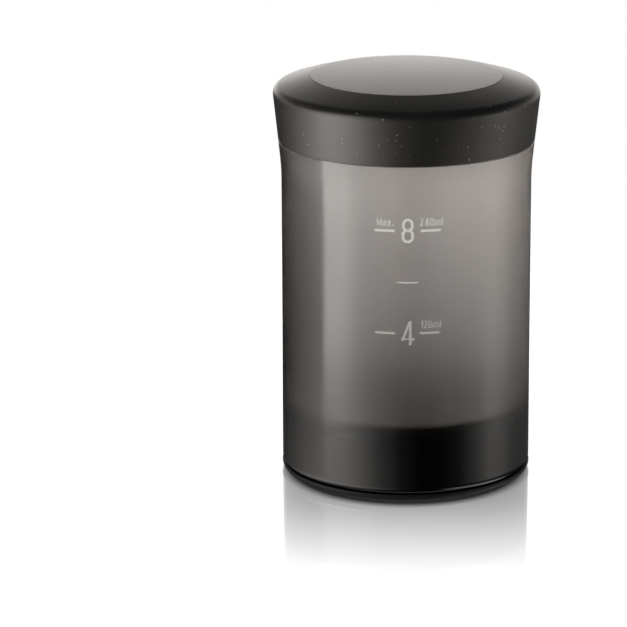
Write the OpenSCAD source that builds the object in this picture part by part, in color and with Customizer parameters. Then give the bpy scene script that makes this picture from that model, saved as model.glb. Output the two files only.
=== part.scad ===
// Portable press coffee brewer: a frosted chamber on a dark base, a push-fit lid, and a press
// whose low pad lies flush in the lid and closes its pour slots. Sizes are in millimetres. The
// origin is on the centre line, on the surface that the brewer stands on, and +Z is up.

/* [Chamber] */
// Diameter of the bore that the press slides in
bore_d = 70.4; // [62:0.2:80]
// Wall thickness at the lower edge
wall = 3.3; // [2.9:0.1:5]
// How much the outside narrows from the lower edge to the waist, on the radius
taper = 0.6; // [0:0.1:0.9]
// How far the shoulder flares out past the waist, on the radius
flare = 1; // [0.6:0.05:2]
// Height of the flared stretch under the shoulder
flare_h = 8.7; // [6:0.1:14]
// Radius of the curve that leads into the flare
flare_round = 110; // [60:5:160]
// Inside height from the floor to the shoulder
chamber_h = 88.1; // [70:0.1:120]
// Thickness of the floor
floor_t = 2.4; // [1.6:0.1:4]
// Radius of the corner between the floor and the bore
floor_round = 1.5; // [0.5:0.1:2]
// Wall thickness of the neck inside the lid
neck_wall = 1.6; // [1.2:0.1:1.9]
// Height of the neck above the shoulder
neck_h = 9; // [8:0.1:14]
// Radius of the outer lower edge
low_edge_round = 0.8; // [0.3:0.1:1.2]

/* [Base] */
// Height of the foot ring
foot_h = 3.9; // [3:0.1:6]
// How far the foot ring stands out past the chamber
foot_bulge = 0.1; // [0:0.05:0.5]
// Width of the foot ring
foot_w = 4.5; // [4.2:0.1:7]
// Radius of the foot ring's outer lower edge
foot_round = 1.5; // [0.5:0.1:2]
// Height of the skirt under the chamber floor
skirt_h = 9.3; // [7:0.1:16]
// Wall thickness of the skirt
skirt_wall = 3; // [2:0.1:3.6]
// Wall thickness of the base cap
base_cap_wall = 3; // [2.4:0.1:5]
// Thickness of the base cap's plate
base_plate_t = 2; // [1.2:0.1:2.6]
// How far the base cap's lower rim lies above the table
base_recess = 1.4; // [0.6:0.1:2]
// Width of the base cap's lower rim
base_rim_w = 3; // [2:0.1:6]
// Number of ribs inside the base cap
base_ribs = 6; // [3:1:12]
// Thickness of a rib in the base cap
base_rib_t = 1.6; // [1:0.1:3]
// Diameter of the post where the ribs meet
base_post_d = 10; // [6:0.5:20]
// Cross-section diameter of the base seal
base_seal_d = 1.7; // [1:0.1:2]

/* [Lid] */
// How far the lid widens from its lower edge to its corner, on the radius
lid_flare = 1.7; // [1:0.05:3]
// Slope of the bevel round the pad, in degrees
bevel_angle = 15; // [8:0.5:20]
// Radius of the rounded corner between the side and the bevel
lid_round = 3; // [2:0.1:6]
// Gap between the lid's edge and the shoulder
lid_seam = 0.25; // [0.2:0.05:0.6]
// Thickness of the lid's deck
deck_t = 2; // [1.6:0.1:4]
// Depth of the deck below the pad's edge
recess_h = 5.3; // [5:0.1:8]
// Wall of the liner's plug
liner_wall = 3.1; // [2:0.1:4]
// Thickness of the liner's flange
liner_flange_t = 2.4; // [1.6:0.1:4]
// How far the liner's plug stops above the lid's edge
liner_stop = 0.7; // [0.5:0.1:2]
// Number of pour slots in the deck
pour_slots = 16; // [8:1:18]
// Width of a pour slot
pour_slot_w = 2.6; // [1.6:0.1:3]
// Solid deck left at each end of a pour slot
pour_slot_land = 1.6; // [0.8:0.1:3]
// Radius of the finger scoop behind the pad
scoop_r = 12; // [8:0.5:16]
// How far the finger scoop reaches below the pad's rim
scoop_depth = 2; // [1:0.1:3]
// Distance of the scoop's middle behind the pad's edge
scoop_back = 2; // [0:0.1:4]

/* [Lid gasket] */
// Thickness of the gasket on the rim
gasket_t = 0.8; // [0.5:0.1:1.5]
// Thickness of the gasket's sleeve round the plug
gasket_sleeve_t = 0.7; // [0.5:0.05:0.9]
// Height of one gasket lip
gasket_lip_h = 1.6; // [1:0.1:2]
// How far a gasket lip stands out from the sleeve
gasket_lip_w = 0.65; // [0.3:0.05:1]

/* [Press pad] */
// Diameter of the pad
pad_d = 58; // [52:0.1:60]
// How far the pad's middle stands over its edge
pad_crown = 0.5; // [0:0.1:1]
// Height of the pad's edge over the bevel's inner edge
pad_proud = 0.3; // [0:0.05:1]
// Gap between the pad and the bevel's inner edge
pad_seam = 0.15; // [0.15:0.05:0.6]
// Thickness of the pad's rim
pad_rim_t = 1.5; // [1:0.1:1.8]
// How far the pad's rim reaches out past the plug under it
pad_rim_w = 2.4; // [1.4:0.1:3]
// Thickness of the pad's plate
pad_plate_t = 2.2; // [2:0.1:3]
// Thickness of the pad over the hub's boss
pad_skin_t = 0.8; // [0.5:0.1:1.2]
// Width of the ring under the pad that carries the seal
pad_ring_w = 2.2; // [1.4:0.1:3]
// Thickness of the pad seal under that ring
pad_seal_t = 1.7; // [1:0.1:2]
// Thickness of the pad seal's leg inside that ring
pad_seal_leg = 0.75; // [0.4:0.05:1.2]
// Diameter of the hub that joins the pad to the rod
hub_d = 18; // [14:0.5:20]
// Width of the hub's shoulder under the pad
hub_shoulder = 2.2; // [1:0.1:3]

/* [Rod and gland] */
// Diameter of the press rod
rod_d = 6; // [4:0.1:7]
// Chamfer on the ends of the rod
rod_chamfer = 0.6; // [0.2:0.1:1]
// Wall of the guide bush
bush_wall = 1.95; // [1.4:0.05:3]
// Length of the bush below the deck
bush_drop = 6.4; // [4:0.1:8]
// Width of the bush's flange
bush_flange_w = 2.2; // [1:0.1:2.5]
// Thickness of the bush's flange
bush_flange_t = 0.8; // [0.5:0.1:1.2]
// Cross-section diameter of the rod seal
rod_seal_d = 1.44; // [1:0.02:1.6]
// Wall of the gland nut
gland_wall = 3; // [2:0.1:3.5]
// Thickness of the gland nut's end
gland_end_t = 1; // [0.8:0.1:2]

/* [Filter] */
// Height of the wiper ring
wiper_h = 6.9; // [6.2:0.1:12]
// Height of one wiper lip
wiper_lip_h = 1.6; // [1:0.1:1.8]
// How deep the wiper's waist lies behind its lips
wiper_waist = 0.95; // [0.4:0.05:1.1]
// How far the wiper grips over the plates
wiper_grip = 1.4; // [0.8:0.1:2]
// Thickness of the wiper behind the plates
wiper_back = 2.4; // [2:0.1:4]
// Height of the lower plate over the wiper's lower edge
plate_rise = 2.7; // [2:0.1:3.2]
// Thickness of the lower plate
low_plate_t = 1; // [0.6:0.1:1.5]
// Thickness of the filter screen
screen_t = 0.4; // [0.2:0.05:0.6]
// Thickness of the upper plate
top_plate_t = 1; // [0.6:0.1:1.5]
// Solid land of the plates inside the wiper's grip
plate_land = 1.2; // [0.6:0.1:3]
// Number of windows in the lower plate
low_plate_windows = 6; // [4:1:8]
// Width of the bridges between those windows
window_bridge = 3; // [2:0.1:5]
// Diameter of a hole in the upper plate
top_hole_d = 4.6; // [3:0.1:5.5]
// Spacing of the holes in the upper plate
top_hole_pitch = 7.4; // [6.5:0.1:12]
// Diameter of a hole in the filter screen
screen_hole_d = 1.6; // [1:0.1:1.8]
// Spacing of the holes in the filter screen
screen_pitch = 3.2; // [3:0.1:4.5]
// Height of the collar on the upper plate
collar_h = 5; // [3:0.1:8]
// Diameter of the collar's foot
collar_d = 15; // [13:0.5:18]
// Thickness of the collar's foot
collar_foot_t = 1.4; // [0.8:0.1:2]
// Wall of the collar above its foot
collar_wall = 2; // [1.2:0.1:3]
// Width of the filter nut across its corners
nut_d = 13; // [11:0.5:16]
// Thickness of the filter nut's closed end
nut_end_t = 1; // [0.6:0.1:1.4]
// Height of the wiper over the chamber floor when the press is down
floor_gap = 0.3; // [0.2:0.05:1]

/* [Fits] */
// Radial gap of the parts that slide in the bore
bore_gap = 0.15; // [0.1:0.05:0.3]
// Radial gap between the neck and the lid
lid_gap = 0.25; // [0.15:0.05:0.4]
// Radial gap of pieces that are pushed together and stay
fit_gap = 0.1; // [0.05:0.05:0.2]
// Radial gap of the rod in its bush
rod_gap = 0.05; // [0.03:0.01:0.1]
// Radial gap of the rod in the gland nut's end
gland_gap = 0.25; // [0.15:0.05:0.5]
// Radial gap round the pad's plug in its recess
pad_gap = 0.6; // [0.4:0.05:1]
// Height of the gaps under the pad's rim and hub
pad_clear = 0.25; // [0.2:0.05:0.5]
// Height left between the raised press and the lid's inside
stop_gap = 0.5; // [0.3:0.1:2]

/* [Hidden] */
$fn = 96;
// Degrees between the points of a rounded corner
arc_step = 9;
// Rounding of moulded edges
edge_round = 0.4;
// Rounding of sharp moulded edges
fine_round = 0.2;
// How far a cutting shape reaches past what it cuts
past = 1;

// Chamber radii and heights
bore_r = bore_d / 2;
low_r = bore_r + wall;
waist_r = low_r - taper;
shoulder_r = waist_r + flare;
neck_r = bore_r + neck_wall;
skirt_r = low_r - skirt_wall;
shell_z = foot_h;
floor_under_z = shell_z + skirt_h;
floor_z = floor_under_z + floor_t;
shoulder_z = floor_z + chamber_h;
rim_z = shoulder_z + neck_h;

// Base radii and heights
foot_r = low_r + foot_bulge;
foot_in_r = foot_r - foot_w;
base_r = skirt_r - fit_gap;
base_seal_z = shell_z + skirt_h / 2;

// Rod and gland radii
rod_r = rod_d / 2;
rod_bore_r = rod_r + rod_gap;
bush_r = rod_bore_r + bush_wall;
bush_flange_r = bush_r + bush_flange_w;
gland_in_r = bush_r + fit_gap;
gland_r = gland_in_r + gland_wall;

// Lid radii and heights
lid_low_z = shoulder_z + lid_seam;
skirt_in_r = neck_r + lid_gap;
flange_z = rim_z + gasket_t;
deck_under_z = flange_z + liner_flange_t;
deck_z = deck_under_z + deck_t;
pad_r = pad_d / 2;
pad_z = deck_z + recess_h;
pad_rim_z = pad_z - pad_rim_t;
seat_r = pad_r + pad_seam;
seat_z = pad_rim_z - pad_clear;
bevel_z = pad_z - pad_proud;
pad_plug_r = pad_r - pad_rim_w;
recess_r = pad_plug_r + pad_gap;
lid_r = shoulder_r + lid_flare;
lid_corner_z = bevel_z - (lid_r - seat_r) * tan(bevel_angle);
gasket_lip_r = bore_r - bore_gap;
sleeve_r = gasket_lip_r - gasket_lip_w;
sleeve_in_r = sleeve_r - gasket_sleeve_t;
plug_r = sleeve_in_r - fit_gap;
plug_in_r = plug_r - liner_wall;
plug_low_z = lid_low_z + liner_stop;

// Gland heights
bush_low_z = deck_under_z - bush_drop;
rod_seal_z = bush_low_z - rod_gap - rod_seal_d / 2;
gland_pocket_z = rod_seal_z - rod_seal_d / 2 - rod_gap;
gland_low_z = gland_pocket_z - gland_end_t;

// Pad, hub and pad seal
pad_ring_in_r = pad_plug_r - pad_ring_w;
pad_ring_z = deck_z + pad_seal_t;
pad_under_z = pad_z - pad_plate_t;
seal_leg_r = pad_ring_in_r - fit_gap;
seal_in_r = seal_leg_r - pad_seal_leg;
hub_r = hub_d / 2;
hub_boss_r = hub_r - hub_shoulder;
hub_top_z = pad_z - pad_skin_t;
hub_low_z = deck_z + pad_clear;
slot_in_r = max(hub_r, gland_r) + pour_slot_land;
slot_out_r = seal_in_r - pour_slot_land;

// Filter pack, with the press down
wiper_z = floor_z + floor_gap;
wiper_top_z = wiper_z + wiper_h;
wiper_r = bore_r - bore_gap;
groove_r = wiper_r - wiper_back;
plate_r = groove_r - fit_gap;
wiper_in_r = plate_r - wiper_grip;
plate_open_r = wiper_in_r - plate_land;
low_plate_z = wiper_z + plate_rise;
screen_z = low_plate_z + low_plate_t;
top_plate_z = screen_z + screen_t;
collar_z = top_plate_z + top_plate_t;
collar_r = collar_d / 2;
collar_top_z = collar_z + collar_h;
nut_low_z = wiper_z + fit_gap;
rod_low_z = nut_low_z + nut_end_t;
rod_top_z = hub_top_z - fit_gap;

// Travel of the press up to the lid's inside, and of the lid until the press is out of the chamber
press_travel = min(gland_low_z - collar_top_z, plug_low_z - wiper_top_z) - stop_gap;
lid_travel = rim_z - wiper_z + wiper_h;
echo(press_travel = press_travel, lid_travel = lid_travel, height = pad_z + pad_crown);

// Unit vector along v
function unit(v) = v / norm(v);

// Points of an arc that rounds corner b between a and c, with a radius that its sides can hold
function corner_arc(a, b, c, radius) =
    let(
        u = unit(a - b),
        v = unit(c - b),
        half = acos(u * v) / 2,
        reach = min(radius / tan(half), 0.48 * min(norm(a - b), norm(c - b))),
        r = reach * tan(half),
        centre = b + unit(u + v) * r / sin(half),
        p = b + u * reach - centre,
        q = b + v * reach - centre,
        start = atan2(p.y, p.x),
        turn = (atan2(q.y, q.x) - start + 540) % 360 - 180,
        steps = max(3, ceil(abs(turn) / arc_step))
    )
    [for (i = [0:steps]) centre + r * [cos(start + turn * i / steps), sin(start + turn * i / steps)]];

// Outline through corners of [radius from the axis, height, rounding]
function rounded(corners) =
    let(n = len(corners))
    [
        for (i = [0:n - 1])
            let(
                before = corners[(i + n - 1) % n],
                here = corners[i],
                after = corners[(i + 1) % n],
                b = [here[0], here[1]]
            )
            each (here[2] > 0
                ? corner_arc([before[0], before[1]], b, [after[0], after[1]], here[2])
                : [b])
    ];

// Solid of revolution about the Z axis
module turned(corners) {
    rotate_extrude() polygon(rounded(corners));
}

// Plain ring with square edges
module ring(inner_r, outer_r, low_z, high_z) {
    turned([[inner_r, low_z, 0], [outer_r, low_z, 0], [outer_r, high_z, 0], [inner_r, high_z, 0]]);
}

// Round-section ring
module o_ring(section_d, centre_r, centre_z) {
    translate([0, 0, centre_z])
        rotate_extrude()
            translate([centre_r, 0])
                circle(d = section_d);
}

// Flat disc with a bore for the rod, and with 2D children cut out of it
module filter_disc(low_z, thickness) {
    translate([0, 0, low_z])
        linear_extrude(thickness)
            difference() {
                circle(plate_r);
                circle(rod_bore_r);
                children();
            }
}

// Holes of diameter hole_d, about one pitch apart round circles that fill the open part of a plate
module hole_rings(pitch, hole_d) {
    first_r = collar_r + pitch / 2;
    last_r = plate_open_r - hole_d / 2;
    rings = floor((last_r - first_r) / pitch);
    for (k = [0:rings])
        let(
            r = first_r + k * (last_r - first_r) / rings,
            count = floor(2 * PI * r / pitch)
        )
            for (i = [0:count - 1])
                rotate(360 * i / count)
                    translate([r, 0])
                        circle(d = hole_d, $fn = 24);
}

// Frosted chamber, with a skirt below its floor and a thin neck above its shoulder
module chamber() {
    color([0.42, 0.41, 0.39, 0.6])
        turned([
            [0, floor_z, 0],
            [bore_r, floor_z, floor_round],
            [bore_r, rim_z, edge_round],
            [neck_r, rim_z, edge_round],
            [neck_r, shoulder_z, 0],
            [shoulder_r, shoulder_z, edge_round],
            [waist_r, shoulder_z - flare_h, flare_round],
            [low_r, shell_z, low_edge_round],
            [skirt_r, shell_z, edge_round],
            [skirt_r, floor_under_z, edge_round],
            [0, floor_under_z, 0]
        ]);
}

// Hollow cap that closes the skirt, with a spigot for the foot ring, a seal groove and ribs
module base_cap() {
    inner_r = base_r - base_cap_wall;
    spigot_r = foot_in_r - fit_gap;
    dish_r = spigot_r - base_rim_w;
    dish_z = shell_z - base_plate_t / 2;
    plate_z = shell_z + base_plate_t / 2;
    groove_half = base_seal_d / 2 + fit_gap;
    groove_in_r = base_r - base_seal_d - fit_gap;
    rib_h = skirt_h - base_plate_t;
    color([0.05, 0.05, 0.05]) {
        difference() {
            turned([
                [0, dish_z, 0],
                [dish_r, dish_z, edge_round],
                [dish_r, base_recess, edge_round],
                [spigot_r, base_recess, edge_round],
                [spigot_r, shell_z, 0],
                [base_r, shell_z, 0],
                [base_r, floor_under_z, edge_round],
                [inner_r, floor_under_z, edge_round],
                [inner_r, plate_z, edge_round],
                [0, plate_z, 0]
            ]);
            ring(groove_in_r, base_r + past, base_seal_z - groove_half, base_seal_z + groove_half);
        }
        translate([0, 0, shell_z]) {
            cylinder(d = base_post_d, h = rib_h);
            for (i = [0:base_ribs - 1])
                rotate(360 * i / base_ribs)
                    translate([0, -base_rib_t / 2, 0])
                        cube([inner_r + base_cap_wall / 4, base_rib_t, rib_h]);
        }
    }
}

// Round seal between the base cap and the skirt
module base_seal() {
    color([0.10, 0.10, 0.10])
        o_ring(base_seal_d, skirt_r - fit_gap / 2 - base_seal_d / 2, base_seal_z);
}

// Soft ring that the brewer stands on
module foot_ring() {
    color([0.06, 0.06, 0.06])
        turned([
            [foot_in_r, 0, edge_round],
            [foot_r, 0, foot_round],
            [foot_r, shell_z, low_edge_round],
            [foot_in_r, shell_z, 0]
        ]);
}

// Flared lid with a bevelled top, a stepped recess for the pad, a finger scoop and pour slots
module lid_shell() {
    color([0.12, 0.12, 0.12])
        difference() {
            turned([
                [shoulder_r, lid_low_z, fine_round],
                [lid_r, lid_corner_z, lid_round],
                [seat_r, bevel_z, fine_round],
                [seat_r, seat_z, 0],
                [recess_r, seat_z, edge_round],
                [recess_r, deck_z, edge_round],
                [gland_in_r, deck_z, 0],
                [gland_in_r, deck_under_z, 0],
                [skirt_in_r, deck_under_z, edge_round],
                [skirt_in_r, lid_low_z, 0]
            ]);
            ring(0, bush_flange_r + fit_gap, deck_z - bush_flange_t, deck_z + past);
            translate([0, pad_r + scoop_back, pad_rim_z - scoop_depth + scoop_r])
                sphere(scoop_r);
            for (i = [0:pour_slots - 1])
                rotate(360 * i / pour_slots)
                    pour_slot();
        }
}

// One pour slot, with round ends, through the deck
module pour_slot() {
    end_r = pour_slot_w / 2;
    near_r = slot_in_r + end_r;
    far_r = slot_out_r - end_r;
    depth = deck_t + 2 * past;
    translate([0, 0, deck_under_z - past]) {
        translate([near_r, 0, 0]) cylinder(r = end_r, h = depth);
        translate([far_r, 0, 0]) cylinder(r = end_r, h = depth);
        translate([near_r, -end_r, 0]) cube([far_r - near_r, pour_slot_w, depth]);
    }
}

// Plug ring inside the lid that carries the gasket
module lid_liner() {
    color([0.07, 0.07, 0.07])
        turned([
            [plug_in_r, plug_low_z, edge_round],
            [plug_r, plug_low_z, edge_round],
            [plug_r, flange_z, 0],
            [neck_r, flange_z, edge_round],
            [neck_r, deck_under_z, edge_round],
            [plug_in_r, deck_under_z, 0]
        ]);
}

// Gasket with two lips that grip the bore, and a flange that sits on the rim
module lid_gasket() {
    sleeve_low_z = plug_low_z + edge_round;
    lip_gap = (rim_z - sleeve_low_z - 2 * gasket_lip_h) / 3;
    tip_low = gasket_lip_h * 0.4;
    tip_high = gasket_lip_h * 0.6;
    color([0.10, 0.10, 0.10]) {
        turned([
            [sleeve_in_r, sleeve_low_z, 0],
            [sleeve_r, sleeve_low_z, fine_round],
            [sleeve_r, rim_z, 0],
            [neck_r, rim_z, 0],
            [neck_r, flange_z, 0],
            [sleeve_in_r, flange_z, 0]
        ]);
        for (i = [0, 1])
            let(lip_z = sleeve_low_z + lip_gap + i * (gasket_lip_h + lip_gap))
                turned([
                    [sleeve_in_r, lip_z, 0],
                    [gasket_lip_r, lip_z + tip_low, fine_round],
                    [gasket_lip_r, lip_z + tip_high, fine_round],
                    [sleeve_in_r, lip_z + gasket_lip_h, 0]
                ]);
    }
}

// Flanged bush that guides the rod through the deck
module rod_bush() {
    color([0.16, 0.16, 0.16])
        turned([
            [rod_bore_r, bush_low_z, 0],
            [bush_r, bush_low_z, edge_round],
            [bush_r, deck_z - bush_flange_t, 0],
            [bush_flange_r, deck_z - bush_flange_t, 0],
            [bush_flange_r, deck_z, fine_round],
            [rod_bore_r, deck_z, fine_round]
        ]);
}

// Round seal that wipes the rod
module rod_seal() {
    color([0.10, 0.10, 0.10])
        o_ring(rod_seal_d, rod_bore_r + rod_seal_d / 2, rod_seal_z);
}

// Six-sided nut on the bush, which clamps it to the deck and holds the rod seal
module gland_nut() {
    color([0.16, 0.16, 0.16])
        difference() {
            translate([0, 0, gland_low_z])
                cylinder(r = gland_r, h = deck_under_z - gland_low_z, $fn = 6);
            ring(0, gland_in_r, gland_pocket_z, deck_under_z + past);
            ring(0, rod_r + gland_gap, gland_low_z - past, gland_pocket_z + past);
        }
}

// Slightly crowned pad that the palm presses, with a rim to lift it by and a ring for its seal
module press_pad() {
    boss_hole_r = hub_boss_r + fit_gap;
    crown_steps = 8;
    color([0.20, 0.20, 0.19])
        turned([
            for (i = [0:crown_steps - 1])
                let(share = i / crown_steps)
                    [pad_r * share, pad_z + pad_crown * (1 - share * share), 0],
            [pad_r, pad_z, fine_round],
            [pad_r, pad_rim_z, edge_round],
            [pad_plug_r, pad_rim_z, 0],
            [pad_plug_r, pad_ring_z, edge_round],
            [pad_ring_in_r, pad_ring_z, edge_round],
            [pad_ring_in_r, pad_under_z, 0],
            [boss_hole_r, pad_under_z, 0],
            [boss_hole_r, hub_top_z, 0],
            [0, hub_top_z, 0]
        ]);
}

// Threaded hub between the pad and the rod
module pad_hub() {
    color([0.16, 0.16, 0.16])
        turned([
            [rod_bore_r, hub_low_z, 0],
            [hub_r, hub_low_z, edge_round],
            [hub_r, pad_under_z, 0],
            [hub_boss_r, pad_under_z, 0],
            [hub_boss_r, hub_top_z, 0],
            [0, hub_top_z, 0],
            [0, rod_top_z, 0],
            [rod_bore_r, rod_top_z, 0]
        ]);
}

// Soft ring under the pad that closes the pour slots
module pad_seal() {
    leg_top_z = pad_under_z - fit_gap;
    color([0.10, 0.10, 0.10])
        turned([
            [seal_in_r, deck_z, edge_round],
            [pad_plug_r, deck_z, edge_round],
            [pad_plug_r, pad_ring_z, 0],
            [seal_leg_r, pad_ring_z, 0],
            [seal_leg_r, leg_top_z, 0],
            [seal_in_r, leg_top_z, fine_round]
        ]);
}

// Rod from the pad's hub down to the filter nut
module press_rod() {
    tip_r = rod_r - rod_chamfer;
    color([0.72, 0.72, 0.73])
        turned([
            [0, rod_low_z, 0],
            [tip_r, rod_low_z, 0],
            [rod_r, rod_low_z + rod_chamfer, 0],
            [rod_r, rod_top_z - rod_chamfer, 0],
            [tip_r, rod_top_z, 0],
            [0, rod_top_z, 0]
        ]);
}

// Collar fixed on the rod, which carries the upper plate and stops the press under the lid
module filter_collar() {
    sleeve_r = rod_bore_r + collar_wall;
    color([0.72, 0.72, 0.73])
        turned([
            [rod_bore_r, collar_z, 0],
            [collar_r, collar_z, 0],
            [collar_r, collar_z + collar_foot_t, edge_round],
            [sleeve_r, collar_z + collar_foot_t, edge_round],
            [sleeve_r, collar_top_z, edge_round],
            [rod_bore_r, collar_top_z, fine_round]
        ]);
}

// Upper plate with rings of large holes
module filter_top_plate() {
    color([0.72, 0.72, 0.73])
        filter_disc(top_plate_z, top_plate_t)
            hole_rings(top_hole_pitch, top_hole_d);
}

// Fine screen between the plates, drawn with coarser holes than the real one has
module filter_screen() {
    color([0.66, 0.66, 0.67])
        filter_disc(screen_z, screen_t)
            hole_rings(screen_pitch, screen_hole_d);
}

// Lower plate with large round windows
module filter_low_plate() {
    land_r = nut_d / 2 + plate_land;
    middle_r = (plate_open_r + land_r) / 2;
    room_r = (plate_open_r - land_r) / 2;
    window_r = min(room_r, middle_r * sin(180 / low_plate_windows) - window_bridge / 2);
    color([0.72, 0.72, 0.73])
        filter_disc(low_plate_z, low_plate_t)
            for (i = [0:low_plate_windows - 1])
                rotate(360 * i / low_plate_windows)
                    translate([middle_r, 0])
                        circle(window_r);
}

// Closed six-sided nut that clamps the filter pack on the rod
module filter_nut() {
    color([0.72, 0.72, 0.73])
        difference() {
            translate([0, 0, nut_low_z])
                cylinder(d = nut_d, h = low_plate_z - nut_low_z, $fn = 6);
            ring(0, rod_bore_r, rod_low_z - rod_gap, low_plate_z + past);
        }
}

// Soft ring round the plates, with a lip above and a lip below that wipe the bore
module wiper_ring() {
    waist_r = wiper_r - wiper_waist;
    floor_side = floor_round + fit_gap;
    lower_lip_z = wiper_z + floor_side + wiper_lip_h / 2;
    upper_lip_z = wiper_top_z - wiper_lip_h;
    color([0.05, 0.05, 0.05])
        turned([
            [wiper_in_r, wiper_z, edge_round],
            [wiper_r, wiper_z, floor_side],
            [wiper_r, lower_lip_z, edge_round],
            [waist_r, lower_lip_z + wiper_waist, edge_round],
            [waist_r, upper_lip_z - wiper_waist, edge_round],
            [wiper_r, upper_lip_z, edge_round],
            [wiper_r, wiper_top_z, edge_round],
            [wiper_in_r, wiper_top_z, edge_round],
            [wiper_in_r, collar_z, 0],
            [groove_r, collar_z, 0],
            [groove_r, low_plate_z, 0],
            [wiper_in_r, low_plate_z, 0]
        ]);
}

chamber();
base_cap();
base_seal();
foot_ring();
lid_shell();
lid_liner();
lid_gasket();
rod_bush();
rod_seal();
gland_nut();
press_pad();
pad_hub();
pad_seal();
press_rod();
filter_collar();
filter_top_plate();
filter_screen();
filter_low_plate();
filter_nut();
wiper_ring();
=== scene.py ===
"""Looks of a portable press coffee brewer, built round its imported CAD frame. Lengths are in metres."""
import math

import bmesh
import bpy
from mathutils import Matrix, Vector


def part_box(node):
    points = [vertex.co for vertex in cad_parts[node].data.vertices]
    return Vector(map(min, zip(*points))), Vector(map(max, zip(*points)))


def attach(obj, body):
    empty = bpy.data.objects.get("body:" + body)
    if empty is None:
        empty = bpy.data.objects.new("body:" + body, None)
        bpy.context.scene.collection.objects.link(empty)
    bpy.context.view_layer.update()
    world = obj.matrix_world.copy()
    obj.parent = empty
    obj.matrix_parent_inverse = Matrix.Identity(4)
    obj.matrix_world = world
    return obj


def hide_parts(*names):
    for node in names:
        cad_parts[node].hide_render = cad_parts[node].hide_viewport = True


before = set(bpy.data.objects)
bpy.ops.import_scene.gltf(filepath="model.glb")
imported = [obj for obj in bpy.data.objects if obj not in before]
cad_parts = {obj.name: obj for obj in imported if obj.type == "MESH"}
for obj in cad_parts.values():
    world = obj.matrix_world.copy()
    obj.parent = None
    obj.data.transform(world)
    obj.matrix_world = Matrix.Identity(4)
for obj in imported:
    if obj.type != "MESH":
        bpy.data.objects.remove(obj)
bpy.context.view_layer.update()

MM = 0.001
TINY = 1e-7
SEGMENTS = 192
CUTTER_SEGMENTS = 96
ARC_STEP = math.radians(4)
ARC_LEAST_STEPS = 6
ARC_REACH = 0.48
SHARP_ANGLE = math.radians(28)

# Sizes that the boxes of the CAD nodes give
CHAMBER_LOW, CHAMBER_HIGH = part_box("chamber")
FOOT_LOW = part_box("foot_ring")[0]
LINER_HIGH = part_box("lid_liner")[1]
LID_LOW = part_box("lid_shell")[0]
PAD_LOW, PAD_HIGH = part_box("press_pad")
HUB_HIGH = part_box("pad_hub")[1]
WIPER_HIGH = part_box("wiper_ring")[1]

# Chamber: radii from the axis, and heights over the table
BORE_R = 35.2 * MM
LOW_R = 38.0 * MM
LOW_ROUND_W = 0.9 * MM
LOW_ROUND_H = 2.2 * MM
WAIST_R = 37.9 * MM
WAIST_Z = 95.0 * MM
SHOULDER_R = CHAMBER_HIGH.x
SHOULDER_Z = 103.7 * MM
FLARE_ROUND = 110 * MM
NECK_R = LINER_HIGH.x
RIM_Z = CHAMBER_HIGH.z
SKIRT_R = 35.5 * MM
FLOOR_UNDER_Z = 13.2 * MM
FLOOR_Z = 15.6 * MM
FLOOR_ROUND = 1.5 * MM
SHELL_Z = CHAMBER_LOW.z - 1.3 * MM
EDGE = 0.4 * MM
FINE = 0.2 * MM

# Foot ring
FOOT_R = LOW_R + 0.1 * MM
FOOT_IN_R = 34.1 * MM
FOOT_ROUND_W = 5 * MM
FOOT_ROUND_H = 2.9 * MM
FOOT_ROUND_END = 50

# Press pad
PAD_R = PAD_HIGH.x
PAD_CROWN = 0.5 * MM
CROWN_STEPS = 16
PAD_Z = PAD_HIGH.z - PAD_CROWN
PAD_RIM_Z = PAD_Z - 1.5 * MM
PAD_UNDER_Z = PAD_Z - 2.2 * MM
PAD_PLUG_R = PAD_R - 2.4 * MM
PAD_RING_IN_R = PAD_PLUG_R - 2.2 * MM
BOSS_HOLE_R = 6.9 * MM

# Lid
LID_R = 40.57 * MM
LID_CORNER_Z = 119.83 * MM
LID_ROUND = 3 * MM
SEAM_ROUND = 0.08 * MM
SEAT_R = PAD_R + 0.06 * MM
SEAT_Z = PAD_RIM_Z - 0.25 * MM
BEVEL_Z = PAD_Z - 0.08 * MM
BEVEL_BULGE = 0.12 * MM
BEVEL_SHARES = [0.4, 0.5, 0.6, 0.7, 0.8, 0.9]
RECESS_R = PAD_PLUG_R + 0.6 * MM
DECK_Z = 117.9 * MM
DECK_UNDER_Z = 115.9 * MM
GLAND_IN_R = 5.1 * MM
LID_IN_R = NECK_R + 0.25 * MM
BUSH_POCKET_R = 7.3 * MM
BUSH_POCKET_Z = 117.1 * MM
SCOOP_R = 12 * MM
SCOOP_RINGS = 64
SCOOP_CENTRE = Vector((0, PAD_R + 2 * MM, PAD_RIM_Z - 2 * MM + SCOOP_R))
SLOTS = 16
SLOT_W = 2.6 * MM
SLOT_IN_R = 10.6 * MM
SLOT_OUT_R = PAD_RING_IN_R - 2.45 * MM
CUT_MARGIN = 1 * MM

# Level marks
MARK_CENTRE = 0.46 * MM
MARK_PROUD = 0.03 * MM
NUMBER_H = 7.5 * MM
NUMBER_LINE = 0.78 * MM
DASH_W = 6.05 * MM
DASH_LINE = 0.75 * MM
DASH_STEPS = 8
MIDDLE_LINE = 0.48 * MM
WORD_H = 2.4 * MM
WORD_LINE = 0.29 * MM
WORD_RISE = 2.62 * MM
EIGHT_Z = 84.5 * MM
MIDDLE_Z = 68.75 * MM
FOUR_Z = 53.2 * MM
# Each number with its height, and how far from the centre its dashes stand
NUMBERS = [("8", EIGHT_Z, 6.88 * MM), ("wide 4", FOUR_Z, 6.66 * MM)]
# Each word with its left end from the centre, and the height of the dash that it stands on
WORDS = [("Max.", -9.05 * MM, EIGHT_Z), ("240ml", 3.75 * MM, EIGHT_Z), ("120ml", 4.05 * MM, FOUR_Z)]


# Turned forms


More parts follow.
